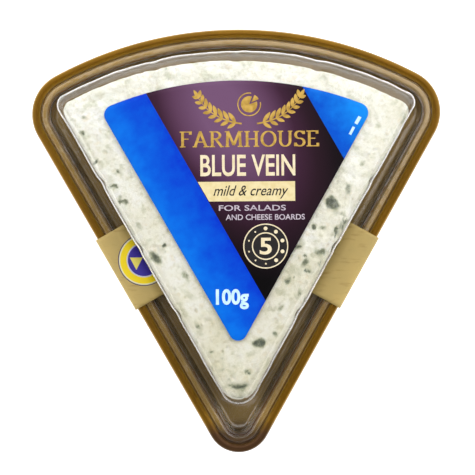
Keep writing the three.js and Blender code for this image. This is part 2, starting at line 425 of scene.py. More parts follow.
# The brown by share of the height, with painted light in it: a painted reflection that lightens the channel
# floor, and a painted highlight at the ledge's ridge and the bead's outer flank
BROWN_AND_PAINTED_SHEEN = [(0.15, "ab8f58"), (0.25, "96713a"), (0.7, "8c6434"), (0.8, "74521c"), (0.84, "b3924f")]
BROWN_AND_PAINTED_SHEEN += [(0.87, "b3924f"), (0.9, "a57f30"), (0.93, "86610f"), (0.95, "765106")]
# Painted shade: towards the tip the colour darkens to this tone, between these two Y values
PAINTED_TIP_SHADE = "442d20"
PAINTED_TIP_SHADE_SPAN = (-49.0, -53.0)


def pearl_sheet():
    """Thermoformed PET sheet with bronze pearl pigment: a glossy brown that flashes gold, with painted
    highlight and reflection by height and painted shade at the tip.
    """
    material, tree, output, place = new_material("bronze_pearl_pet_sheet")
    drawn = add(tree, "ShaderNodeTexNoise", {"Vector": place, "Scale": 1 / 0.012, "Detail": 2.0})
    fleck = add(tree, "ShaderNodeTexNoise", {"Vector": place, "Scale": 1 / 0.0006, "Detail": 1.0})
    part = add(tree, "ShaderNodeSeparateXYZ", {0: place}).outputs
    level = add(tree, "ShaderNodeMapRange", {"Value": part["Z"], "From Max": PAINTED_SHEEN_SPAN * MM})
    # Painted highlight and painted reflection, picked by height
    stretched = add(tree, RAMP, {"Fac": level.outputs[0]}, tones(BROWN_AND_PAINTED_SHEEN)).outputs["Color"]
    patches = tones([(0.3, "e6e6e6"), (0.7, "ffffff")])
    uneven = add(tree, RAMP, {"Fac": drawn.outputs["Fac"]}, patches).outputs["Color"]
    tone = add(
        tree, "ShaderNodeMix", {0: 1.0, 6: stretched, 7: uneven}, data_type="RGBA", blend_type="MULTIPLY"
    ).outputs[2]
    flakes = tones([(0.35, "c9b48a"), (0.75, "ffffff")])
    glitter = add(tree, RAMP, {"Fac": fleck.outputs["Fac"]}, flakes).outputs["Color"]
    colour = add(
        tree, "ShaderNodeMix", {0: 0.25, 6: tone, 7: glitter}, data_type="RGBA", blend_type="MULTIPLY"
    ).outputs[2]
    # Painted shade towards the tip
    tip_shade_share = add(
        tree,
        "ShaderNodeMapRange",
        {"Value": part["Y"], "From Min": PAINTED_TIP_SHADE_SPAN[0] * MM, "From Max": PAINTED_TIP_SHADE_SPAN[1] * MM, "To Max": 0.85},
    ).outputs[0]
    with_painted_tip_shade = add(tree, "ShaderNodeMix", {0: tip_shade_share, 6: colour, 7: srgb(PAINTED_TIP_SHADE)}, data_type="RGBA").outputs[2]
    bump = add(tree, "ShaderNodeBump", {"Height": drawn.outputs["Fac"], "Strength": 0.25, "Distance": 0.0004})
    shader = add(
        tree,
        "ShaderNodeBsdfPrincipled",
        {
            "Base Color": with_painted_tip_shade,
            "Metallic": 0.4,
            "Roughness": 0.28,
            "Specular IOR Level": 0.15,
            "Normal": bump.outputs["Normal"],
        },
    )
    tree.links.new(shader.outputs[0], output.inputs["Surface"])
    return material


pearl = pearl_sheet()
print("tray tones by share of", PAINTED_SHEEN_SPAN, "mm of height:", BROWN_AND_PAINTED_SHEEN)

# %% [markdown]
# ## The tray
#
# The rim is a rolled bead, inside it a ledge with a low ridge carries the lid's flange, and the well
# drops straight to the floor. It could be cut from a block with bevels, but a profile carried round
# the outline gives the true drawn shape, with one radius at each bend. The profile runs from the
# skirt's foot, over the bead and the ledge, down the wall and in to the middle of the floor.

# %% Tray
RIDGE = 0.45


def rim_ring(inset, z):
    """The tray's outline moved in by `inset`, at height z, as a (columns, 3) array."""
    plan, _ = wedge_outline(inset, inset, CORNER_RADIUS - inset, TIP_RADIUS - inset)
    return np.column_stack([plan, np.full(len(plan), z)])


def make_tray(material):
    """The profile's corners as (distance in from the outline, height), and the radius of each bend."""
    corners = [(0.08, LIP_BOTTOM), (0.03, RIM_TOP), (2.4, RIM_TOP), (2.5, LEDGE), (2.65, LEDGE)]
    corners += [(3.0, LEDGE + RIDGE), (4.1, LEDGE + RIDGE), (4.5, LEDGE)]
    corners += [(4.9, LEDGE), (5.45, FLOOR_TOP), (7.9, FLOOR_TOP)]
    profile = rounded(corners, [1.3, 1.1, 0.06, 0.04, 0.4, 0.4, 0.1, 0.1, 0.8])
    rings = np.stack([rim_ring(inset, z) for inset, z in profile])
    middle = rings[-1].mean(axis=0)
    well = middle + (rings[-1] - middle) * CLOSING_SHARES[:, None, None]
    skin = ring_skin("tray_sheet", np.concatenate([rings, well]), material, end_pole=True)
    return solidify(skin, TRAY_SHEET)


tray = make_tray(pearl)
hand_over(tray, "tray_plastic", "tray")

# %% [markdown]
# ## The tray's feet
#
# Four dimples under the floor keep a real tray off a wet shelf. They are the size of a fingertip and
# hidden from above, so each is a small turned pad: the profile of a shallow dish carried round its own
# axis. The four are joined into one piece, because they are one shape repeated.

# %% Feet
FEET = [(0, 46), (-38, 34), (38, 34), (0, -41)]
FOOT_STEPS = 40


def make_feet(material):
    """Four round pads under the floor: the profile of a shallow dish turned about its own axis."""
    under = FLOOR_TOP - TRAY_SHEET
    corners = [(0.4, 0.0), (4.0, 0.0), (4.5, under + 0.05), (0.4, under + 0.05)]
    profile = rounded(corners, [0.35, 0.05])
    angle = np.linspace(0.0, 2 * math.pi, FOOT_STEPS, endpoint=False)
    round_once = np.column_stack([np.cos(angle), np.sin(angle), np.ones(FOOT_STEPS)])
    rings = np.stack([round_once * np.array([r, r, z]) for r, z in profile])
    feet = []
    for x, y in FEET:
        foot = ring_skin("tray_foot", rings + np.array([x, y, 0.0]), material, True, True)
        feet.append(foot)
    return join("tray_feet", feet)


def join(name, pieces):
    """One object from several that share a material, their meshes laid end to end."""
    points = []
    faces = []
    for piece in pieces:
        first = sum(len(p) for p in points)
        place = np.empty(len(piece.data.vertices) * 3, np.float32)
        piece.data.vertices.foreach_get("co", place)
        points.append(place.reshape(-1, 3) / MM)
        faces += [[first + v for v in polygon.vertices] for polygon in piece.data.polygons]
    material = pieces[0].data.materials[0]
    for piece in pieces:
        bpy.data.objects.remove(piece)
    return make_mesh(name, np.concatenate(points), faces, material)


feet = make_feet(pearl)
hand_over(feet, "tray_plastic", "tray")

# %% [markdown]
# ## Ribs in the dome's wall
#
# Flat walls of thin sheet would flex, so the mould presses small upright ribs into them: some along
# each side and three across the rind side. The soft cheese takes the same shape where it touches the
# wall, so the ribs are worked out once, as a function of the place along the outline.

# %% Ribs
DOME_INSET = 8.2
ARC_SHIFT = 1.6
WALL_LEAN = 0.05
CHANNEL = LID_TOP - 21.7
RIB_PLACES = (50.5, 70.5, 90.5)
RIB_ANGLES = (-13.0, 0.0, 13.0)
RIB_DEPTH = 0.55
RIB_HALF_WIDTH = 2.1


def rib_shape(plan):
    """1 in the middle of a rib and 0 outside it, as cos^2 of the distance along the wall."""
    from_crossing = plan - np.array([0.0, CROSSING_Y])
    travel = np.hypot(from_crossing[:, 0], from_crossing[:, 1])
    angle = np.degrees(np.arctan2(plan[:, 0], plan[:, 1] - ARC_CENTRE_Y))
    radius = np.hypot(plan[:, 0], plan[:, 1] - ARC_CENTRE_Y)
    on_arc = (radius > ARC_RADIUS - 14) & (np.abs(angle) < 24)
    total = np.zeros(len(plan))
    for place in RIB_PLACES:
        total += np.where(on_arc, 0.0, bell((travel - place) / RIB_HALF_WIDTH))
    for place in RIB_ANGLES:
        away = np.radians(angle - place) * ARC_RADIUS
        total += np.where(on_arc, bell(away / RIB_HALF_WIDTH), 0.0)
    return total


def bell(value):
    """cos^2 between -1 and 1, 0 outside."""
    return np.where(np.abs(value) < 1, np.cos(value * math.pi / 2) ** 2, 0.0)


print("ribs along each side, mm from the crossing of the sides:", RIB_PLACES)

# %% [markdown]
# ## The cheese
#
# A wedge cut from a wheel with a wire. The paste is ivory, whiter towards the rind side, moist and
# crumbly, and the mould grows blue-green in pockets. Both the crumb and the mould need a random field
# that has a value at any place. Blender's texture nodes have one, but a shader can't dent a mesh, so
# the field is worked out here, from a lattice of random numbers blended smoothly.

# %% Random field
LATTICE = np.random.default_rng(11).random((32, 32, 32))


def noise(points, cell):
    """Smooth random field: lattice values `cell` mm apart, blended with 3t^2 - 2t^3 between them."""
    scaled = points / cell
    base = np.floor(scaled).astype(int)
    t = smooth_step(scaled - base)
    total = np.zeros(points.shape[:-1])
    for corner in np.ndindex(2, 2, 2):
        i, j, k = np.moveaxis((base + corner) % 32, -1, 0)
        weight = np.prod(np.where(np.array(corner) == 1, t, 1 - t), axis=-1)
        total += weight * LATTICE[i, j, k]
    return total


print("field at the origin and 1 mm away:", noise(np.array([[0.0, 0.0, 0.0], [1.0, 0.0, 0.0]]), 5.0).round(3))

# %% [markdown]
# ## Mould in the paste
#
# The cheesemaker pierces the wheel with needles, and blue mould grows where air gets in. Large pockets
# on the top face are given one by one, as ragged ellipses. A network of threads and specks fills the
# rest of the paste. One number from 0 to 1 for each point says how much mould is there, and it serves
# both the pits in the surface and the colour.

# %% Mould
# Larger pockets of mould on the top face: x, y, half-length, half-width in mm, turn in degrees, and
# how strongly the mould has grown there. The one at the nose is no mould but a painted shadow.
POCKETS = [
    (25.4, 9.6, 2.8, 1.9, 110, 1.1), (28.8, 4.5, 1.4, 0.9, 30, 0.8), (22.1, -3.1, 2.2, 1.1, 0, 0.8),
    (18.1, -6.2, 1.8, 1.0, 60, 0.7), (13.3, -10.7, 1.3, 0.9, 20, 0.8), (16.7, -13.9, 1.2, 0.9, 80, 0.7),
    (5.5, -27.1, 2.3, 1.3, 5, 1.1), (10.0, -24.8, 1.3, 0.9, 150, 0.8), (2.6, -34.7, 1.5, 0.8, 140, 0.85),
    (-7.2, -29.6, 1.3, 0.6, 5, 0.85), (-21.9, -4.4, 2.6, 1.2, 140, 0.9), (-19.1, -1.2, 0.9, 0.7, 40, 1.0),
    (-14.0, -9.2, 1.5, 0.9, 100, 0.6), (-41.0, 28.6, 0.9, 0.8, 0, 0.8), (-40.2, 33.0, 0.8, 0.6, 0, 0.6),
    (-37.6, 21.3, 1.6, 0.7, 60, 0.8), (-34.1, 14.3, 1.4, 0.6, 120, 0.5), (-31.2, 11.6, 1.1, 0.8, 60, 0.55),
    (-10.4, -22.2, 1.7, 0.9, 130, 0.6), (33.4, 20.2, 1.2, 0.8, 40, 0.55), (-31.8, 18.4, 1.4, 0.7, 20, 0.45),
    # The pocket at (0.2, -38.5) on the nose is painted shadow at the nose's edge, coloured and pitted like
    # mould
    (-26.0, 4.0, 1.6, 0.9, 130, 0.5), (0.2, -38.5, 3.6, 1.1, 0, 0.95), (-4.6, -34.0, 1.2, 0.8, 20, 0.45),
    (29.5, 13.5, 1.6, 1.0, 60, 0.6), (22.6, 3.2, 1.5, 1.0, 20, 0.55), (11.4, -17.6, 1.4, 0.9, 50, 0.6),
]


def mould_field(points):
    """0 to 1: ragged pockets on the top face, and a wandering network through the whole paste."""
    wander = 1.1 * np.stack([noise(points + shift, 1.7) for shift in (5.0, 50.0, 95.0)], axis=-1) - 0.55
    moved = points + wander
    pockets = np.zeros(points.shape[:-1])
    for x, y, long, wide, turn, strength in POCKETS:
        c, s = math.cos(math.radians(turn)), math.sin(math.radians(turn))
        u = (moved[..., 0] - x) * c + (moved[..., 1] - y) * s
        v = (moved[..., 1] - y) * c - (moved[..., 0] - x) * s
        depth = (points[..., 2] - cheese_high[2]) / 4.0
        within = 1.3 - np.sqrt((u / long) ** 2 + (v / wide) ** 2 + depth**2)
        pockets = np.maximum(pockets, strength * smooth_step(within))
    stretched = moved * np.array([1.0, 1.0, 1.6])
    crowd = smooth_step((noise(stretched, 16.0) - 0.42) / 0.3)
    threads = 1 - np.abs(noise(stretched, 4.2) - 0.5) / 0.09
    specks = (noise(stretched + 31.0, 1.9) - 0.66) / 0.16
    grown = np.maximum(threads * smooth_step((noise(stretched + 9.0, 3.1) - 0.55) / 0.2), specks)
    return np.clip(np.maximum(pockets, smooth_step(grown) * crowd * 0.8), 0.0, 1.0)


print("larger pockets of mould:", len(POCKETS))

# %% [markdown]
# ## The block of cheese
#
# The knife leaves flat cut faces, and the soft paste then slumps: it bulges below its top edge, out to
# the wall of the lid, and takes the ribs' shape there. The block could be a remeshed box, but a
# ring-by-ring surface keeps the cut faces flat and lets the rings crowd near the edge, where the pack
# shows them. Each ring of the wall is a blend of two outlines. Noise roughens the skin, and deeper
# pits are pressed in where the mould sits.

# %% Cheese surface
TOP_EDGE = (11.05, 10.05, 2.45, 6.55)
BULGE = (9.5, 9.8, 3.2, 5.3)
RIND_SKEW = 0.012
# The skin's roughness, as (depth, size) in millimetres
CRUMB = ((0.22, 5.0), (0.16, 1.6), (0.1, 0.9))
PIT_DEPTH = 0.55
HOLE_DEPTH = 0.5


def make_cheese(material):
    """Rings from the middle of the underside, out, up the cut faces and in to the middle of the top.

    Each ring of the wall is a weighted mean of two outlines: the bulge low down, the edge at the top.
    The rind side is cut a little askew: the cut moves in along Y with the distance along X."""
    steps = {"tip": 26, "side": 190, "corner": 14, "arc": 170}
    upper, upper_normal = wedge_outline(*TOP_EDGE, steps=steps)
    lower, lower_normal = wedge_outline(*BULGE, steps=steps)
    middle = upper.mean(axis=0)
    low, high = cheese_low[2] + 0.02, cheese_high[2] - 0.05
    side = refine(rounded([(2.0, low), (0.0, low), (0.0, high), (2.0, high)], [0.8, 1.3], 6), 0.55)
    shares = np.concatenate([np.linspace(0.05, 0.6, 6), np.linspace(0.63, 0.98, 44)])
    wall = []
    for inset, z in side:
        full = float(np.interp(z, [high - 5.0, high - 1.6, high], [1.0, 0.75, 0.0]))
        plan = full * lower + (1 - full) * upper
        normal = full * lower_normal + (1 - full) * upper_normal
        skew = RIND_SKEW * (plan[:, 0] + 25) * smooth_step(plan[:, 1] / 45)
        plan = plan - np.column_stack([np.zeros(len(plan)), skew])
        ring = plan + normal * (inset + RIB_DEPTH * full * rib_shape(plan))[:, None]
        wall.append(np.column_stack([ring, np.full(len(ring), z)]))
    wall = np.stack(wall)
    inner = wall[-1, :, :2]
    level = np.ones((len(inner), 1))
    top = [np.column_stack([middle + (inner - middle) * share, level * high]) for share in shares[::-1]]
    under = [np.column_stack([middle + (inner - middle) * share, level * low]) for share in (0.1, 0.5, 0.8)]
    rings = np.concatenate([np.stack(under), wall, np.stack(top)])
    round_step = np.roll(rings, -1, axis=1) - np.roll(rings, 1, axis=1)
    out = np.cross(round_step, np.gradient(rings, axis=0))
    out /= np.linalg.norm(out, axis=-1, keepdims=True)
    mould = mould_field(rings)
    rough = sum(depth * noise(rings, size) for depth, size in CRUMB)
    pits = PIT_DEPTH * smooth_step((mould - 0.35) / 0.5) * noise(rings, 1.1)
    holes = HOLE_DEPTH * smooth_step((noise(rings + 70.0, 1.4) - 0.8) / 0.1)
    rings = rings - out * (rough - 0.2 + pits + holes)[..., None].clip(0.0)
    piece = ring_skin("cheese_paste_wedge", rings, material, True, True)
    layer = piece.data.attributes.new("mould", "FLOAT", "POINT")
    layer.data.foreach_set("value", np.append(mould.ravel(), [0.0, 0.0]).astype(np.float32))
    return piece


print("bulge below the top edge, mm:", round(TOP_EDGE[0] - BULGE[0], 2))

# %% [markdown]
# ## The look of the paste
#
# Fresh paste is milky: light goes in and comes out a little way off, which takes subsurface scattering
# with a radius of about a millimetre. Curd and crumb vary the ivory at three sizes: clouds of 9 mm,
# patches of 3 mm and crumbs of 1 mm. The mould's colour follows the number stored on the points, and
# the crumb noise frays its edge.

# %% Blue-veined paste
INNER_PASTE = [(0.32, "dcd8c0"), (0.5, "e4e1d0"), (0.68, "ebeae0")]
OUTER_PASTE = [(0.32, "f0efe4"), (0.5, "f6f6ee"), (0.68, "f9f9f5")]
MOTTLE = [(0.33, "d3d5c0"), (0.45, "fbfaf3"), (0.6, "ffffff"), (0.7, "f5ecdb")]
MOULD_TONES = [(0.2, "c2c3a4"), (0.6, "94997c"), (1.0, "505647")]


def cheese_material():
    """Moist ivory paste with mould: soft light under the surface, dull where it crumbles."""
    material, tree, output, place = new_material("blue_veined_paste")
    noise_node = "ShaderNodeTexNoise"
    cloud = add(tree, noise_node, {"Vector": place, "Scale": 1 / 0.009, "Detail": 3.0}).outputs["Fac"]
    patch = add(tree, noise_node, {"Vector": place, "Scale": 1 / 0.0032, "Detail": 3.0, "Roughness": 0.55})
    crumb = add(tree, noise_node, {"Vector": place, "Scale": 1 / 0.0011, "Detail": 4.0, "Roughness": 0.6})
    rindward = add(tree, "ShaderNodeVectorMath", {0: place, 1: (-0.3, 1.0, 0.0)}, operation="DOT_PRODUCT")
    near_rind = add(
        tree, "ShaderNodeMapRange", {"Value": rindward.outputs["Value"], "From Min": -0.02, "From Max": 0.055}
    ).outputs[0]
    inner = add(tree, RAMP, {"Fac": cloud}, tones(INNER_PASTE)).outputs["Color"]
    outer = add(tree, RAMP, {"Fac": cloud}, tones(OUTER_PASTE)).outputs["Color"]
    paste = add(tree, "ShaderNodeMix", {0: near_rind, 6: inner, 7: outer}, data_type="RGBA").outputs[2]
    mottle = add(tree, RAMP, {"Fac": patch.outputs["Fac"]}, tones(MOTTLE)).outputs["Color"]
    mottled = add(
        tree, "ShaderNodeMix", {0: 0.7, 6: paste, 7: mottle}, data_type="RGBA", blend_type="MULTIPLY"
    ).outputs[2]
    crumbs = tones([(0.32, "dfdcca"), (0.5, "ffffff")])
    grain = add(tree, RAMP, {"Fac": crumb.outputs["Fac"]}, crumbs).outputs["Color"]
    body = add(
        tree, "ShaderNodeMix", {0: 0.55, 6: mottled, 7: grain}, data_type="RGBA", blend_type="MULTIPLY"
    )
    stored = add(tree, "ShaderNodeAttribute", attribute_name="mould").outputs["Fac"]
    broken = add(tree, "ShaderNodeMath", {0: crumb.outputs["Fac"], 1: 0.5}, operation="SUBTRACT").outputs[0]
    ragged = add(tree, "ShaderNodeMath", {0: broken, 1: 1.1, 2: stored}, operation="MULTIPLY_ADD").outputs[0]
    shade = add(tree, RAMP, {"Fac": ragged}, tones(MOULD_TONES)).outputs["Color"]
    share = add(tree, "ShaderNodeMapRange", {"Value": ragged, "From Min": 0.1, "From Max": 0.75}).outputs[0]
    colour = add(tree, "ShaderNodeMix", {0: share, 6: body.outputs[2], 7: shade}, data_type="RGBA")
    bump = add(tree, "ShaderNodeBump", {"Height": crumb.outputs["Fac"], "Strength": 0.5, "Distance": 0.0003})
    shader = add(
        tree,
        "ShaderNodeBsdfPrincipled",
        {
            "Base Color": colour.outputs[2],
            "Roughness": 0.5,
            "Subsurface Weight": 0.2,
            "Subsurface Radius": (1.0, 0.75, 0.45),
            "Subsurface Scale": 0.0015,
            "Normal": bump.outputs["Normal"],
        },
    )
    tree.links.new(shader.outputs[0], output.inputs["Surface"])
    return material


cheese = make_cheese(cheese_material())
hand_over(cheese, "cheese_paste", "cheese_wedge")

# %% [markdown]
# ## The clear lid
#
# The lid is one sheet of clear PET, 0.2 mm thick: a flange with a low ridge, a plug that drops into
# the tray's well, a channel, and the dome with its round shoulder. Small upright ribs stiffen the
# walls, three to a side. The dome stands closer to the tray at the rind side than at the straight
# sides, so its rings can't simply be the tray's outline moved in: a blend shifts the arc and the radii
# between the channel's two edges. The dome's walls are also a little wavy, as cold-drawn film is.
# A sheet thins where it is drawn deepest, here at the nose, and a thinner sheet has a finer bright
# line at its bend. So the Solidify modifier takes its share of the thickness from a vertex group.

# %% Lid
WAVE = 0.3
FLANGE = LEDGE + 0.6
BLEND_EDGES = (6.1, 7.9)
CORNER_GAIN = 0.3
TIP_GAIN = 5.4
SHARE_PLACES = [-42.0, -28.0, 20.0, 45.0]
SHEET_SHARES = [0.1, 0.8, 0.9, 1.0]


def lid_ring(inset, z, steps):
    """One ring of the lid: the tray's outline near the rim, the dome's own outline inside it."""
    share = float(smooth_step((inset - BLEND_EDGES[0]) / (BLEND_EDGES[1] - BLEND_EDGES[0])))
    corner = max(0.8, CORNER_RADIUS - inset + CORNER_GAIN * share)
    tip = max(0.8, TIP_RADIUS - inset + TIP_GAIN * share)
    plan, normal = wedge_outline(inset, inset - ARC_SHIFT * share, corner, tip, steps)
    depth = RIB_DEPTH * share * smooth_step((z - CHANNEL) / 0.8) * smooth_step((LID_TOP - 0.8 - z) / 2.0)
    place = np.column_stack([plan, np.full(len(plan), z)])
    wave = WAVE * share * (noise(place * np.array([1.0, 1.0, 0.4]), 5.0) + 0.5 * noise(place, 2.3) - 0.75)
    plan = plan + normal * (depth * rib_shape(plan) + wave)[:, None]
    return np.column_stack([plan, np.full(len(plan), z)])


def thin_the_nose(piece):
    """Each point's share of the sheet's thickness, as a vertex group in steps of a tenth.

    The share is 1 on the flange. Up the dome it goes to a value that falls along Y, from 1 at the rind
    side to 0.1 at the tip."""
    place = np.empty(len(piece.data.vertices) * 3, np.float32)
    piece.data.vertices.foreach_get("co", place)
    place = place.reshape(-1, 3) / MM
    on_dome = smooth_step((place[:, 2] - CHANNEL) / 4.0)
    drawn_share = np.interp(place[:, 1], SHARE_PLACES, SHEET_SHARES)
    tenths = np.rint(10 * (1 - on_dome * (1 - drawn_share))).astype(int)
    group = piece.vertex_groups.new(name="sheet_share")
    for tenth in range(1, 11):
        group.add(np.flatnonzero(tenths == tenth).tolist(), tenth / 10, "REPLACE")
    piece.modifiers["sheet_thickness"].vertex_group = "sheet_share"
    print("points at each tenth of the thickness:", np.bincount(tenths))
    return piece


def make_lid(material):
    """The profile runs from the flange's edge over its ridge, down, across the channel and up."""
    steps = {"tip": 20, "side": 130, "corner": 20, "arc": 150}
    ridge = FLANGE + 0.4
    corners = [(2.65, FLANGE), (2.7, FLANGE), (3.05, ridge), (4.2, ridge), (4.6, FLANGE), (5.3, FLANGE)]
    corners += [(6.15, CHANNEL), (DOME_INSET, CHANNEL)]
    corners += [(DOME_INSET + WALL_LEAN * (LID_TOP - CHANNEL), LID_TOP), (11.6, LID_TOP)]
    profile = refine(rounded(corners, [0.02, 0.4, 0.4, 0.1, 0.3, 0.5, 1.2, 2.2], 10), 1.2)
    rings = np.stack([lid_ring(inset, z, steps) for inset, z in profile])
    middle = rings[-1].mean(axis=0)
    top = middle + (rings[-1] - middle) * CLOSING_SHARES[:, None, None]
    skin = ring_skin("clear_lid_sheet", np.concatenate([rings, top]), material, end_pole=True)
    return thin_the_nose(solidify(skin, LID_SHEET))


print(f"the dome rises {LID_TOP - CHANNEL:.1f} mm from the channel")

# %% [markdown]
# ## Clear sheet
#
# PET is a glass to light: it bends it with an index of 1.57 and mirrors some of it. Its drawn walls are
# a trace hazier than the flat top. Lamps must still light the cheese inside, and light bent by glass
# is slow to work out, so shadow rays meet a clear Transparent shader instead.

# %% Clear PET
PET_IOR = 1.57
WALL_HAZE = 0.1
TOP_HAZE = 0.02


def clear_pet():
    """Thermoformed clear PET: sharp reflections, and a faint waviness from the mould."""
    material, tree, output, place = new_material("clear_pet_sheet")
    wave = add(tree, "ShaderNodeTexNoise", {"Vector": place, "Scale": 1 / 0.004, "Detail": 2.0})
    bump = add(tree, "ShaderNodeBump", {"Height": wave.outputs["Fac"], "Strength": 0.4, "Distance": 0.0003})
    height = add(tree, "ShaderNodeSeparateXYZ", {0: place}).outputs["Z"]
    near_top = {"From Min": (LID_TOP - 0.3) * MM, "From Max": LID_TOP * MM}
    haze = add(
        tree, "ShaderNodeMapRange", {"Value": height, **near_top, "To Min": WALL_HAZE, "To Max": TOP_HAZE}
    )
    glass = add(
        tree,
        "ShaderNodeBsdfPrincipled",
        {
            "Base Color": srgb("fdfdfd"),
            "Roughness": haze.outputs[0],
            "IOR": PET_IOR,
            "Transmission Weight": 1.0,
            "Normal": bump.outputs["Normal"],
        },
    )
    lamps = add(tree, "ShaderNodeBsdfTransparent", {"Color": srgb("ffffff")})
    path = add(tree, "ShaderNodeLightPath")
    mixed = add(
        tree,
        "ShaderNodeMixShader",
        {0: path.outputs["Is Shadow Ray"], 1: glass.outputs[0], 2: lamps.outputs[0]},
    )
    tree.links.new(mixed.outputs[0], output.inputs["Surface"])
    return material


lid = make_lid(clear_pet())
hand_over(lid, "clear_plastic", "clear_lid")

# %% [markdown]
# ## The kraft wrap label
#
# A strip of brown kraft paper, gummed under the tray, comes up round the rim on both sides and ends at
# the dome's wall. Paper bends but doesn't stretch, so it is a ruled surface: one bent line, the section
# across the pack, is drawn once and carried along the side. It touches only the bead, and between the
# bead and the dome it hangs a little. Laid flat, the strip is 22 mm wide and 94.9 mm long along its
# middle, and each wing leans away from straight by half the angle between the pack's sides.

# %% Kraft wrap label
PAPER = 0.12
WING_WIDTH = 22.0
WING_CENTRE = 67.0
PAPER_TOP = wrap_high[2]


def wing_section():
    """The paper's outer face across one wing, from the dome's wall to the underside, as (inset, z)."""
    corners = [(8.45, PAPER_TOP - 0.02), (5.4, PAPER_TOP - 0.22), (2.2, PAPER_TOP - 0.06), (0.75, PAPER_TOP)]
    corners += [(-0.1, PAPER_TOP - 0.45), (-0.45, RIM_TOP - 1.2), (-0.45, LIP_BOTTOM - 0.3)]
    corners += [(5.1, 0.62), (6.0, wrap_low[2] + 0.03), (8.0, wrap_low[2] + 0.03)]
    return rounded(corners, [3.0, 3.0, 0.7, 0.4, 0.8, 0.5, 1.2, 0.9], 6)


def make_wrap(material):
    """Point (path, along): the section at that distance along the side; the two sides are mirrored."""
    section = wing_section()
    along = np.linspace(WING_CENTRE - WING_WIDTH / 2, WING_CENTRE + WING_WIDTH / 2, 24)
    sine, cosine = math.sin(HALF_ANGLE), math.cos(HALF_ANGLE)
    inset, height = section[:, :1], section[:, 1:]
    x = sine * along - cosine * inset
    y = CROSSING_Y + cosine * along + sine * inset
    z = np.broadcast_to(height, x.shape)
    right = np.stack([x, y, z], axis=-1)
    left = right[::-1] * np.array([-1.0, 1.0, 1.0])
    middle = right[-1] + (left[0] - right[-1]) * np.linspace(0, 1, 8)[1:-1, None, None]
    sheet = np.concatenate([right, middle, left])
    faces = grid_faces(*sheet.shape[:2], closed=False)
    piece = make_mesh("kraft_paper_wrap", sheet.reshape(-1, 3), faces, material)
    return solidify(piece, PAPER)


wing_steps = np.linalg.norm(np.diff(wing_section(), axis=0), axis=1)
print(f"one wing is {wing_steps.sum():.1f} mm of paper, as far as the tray's underside")

# %% [markdown]
# ## Kraft paper and its badge
#
# Kraft is unbleached pulp, pressed between steel rollers: matt, tan, with darker fibres along the
# machine's direction. One wing carries a printed badge, a disc with a ring and a plain wedge in it. A
# distance from the badge's centre picks the ring's colour from a stepped Color Ramp, and three
# straight edges cut out the wedge, so no picture is needed. The print shows only on the upper face,
# above the height where the paper folds over the bead.

# %% Kraft paper
BADGE = (-25.6, -5.0, 0.0)
BADGE_RADIUS = 7.1
BADGE_RINGS = [(0.0, "3527a0"), (0.44, "d8d3e0"), (0.475, "ffe000"), (0.645, "ece6c0"), (0.68, "4a4160")]
ICON_SHIFT = (-2.1, -0.8)
ICON_SLOPE = 1.9
ICON_LOW = 1.9
ICON_HIGH = 1.5
FOLD_HEIGHT = 7.0


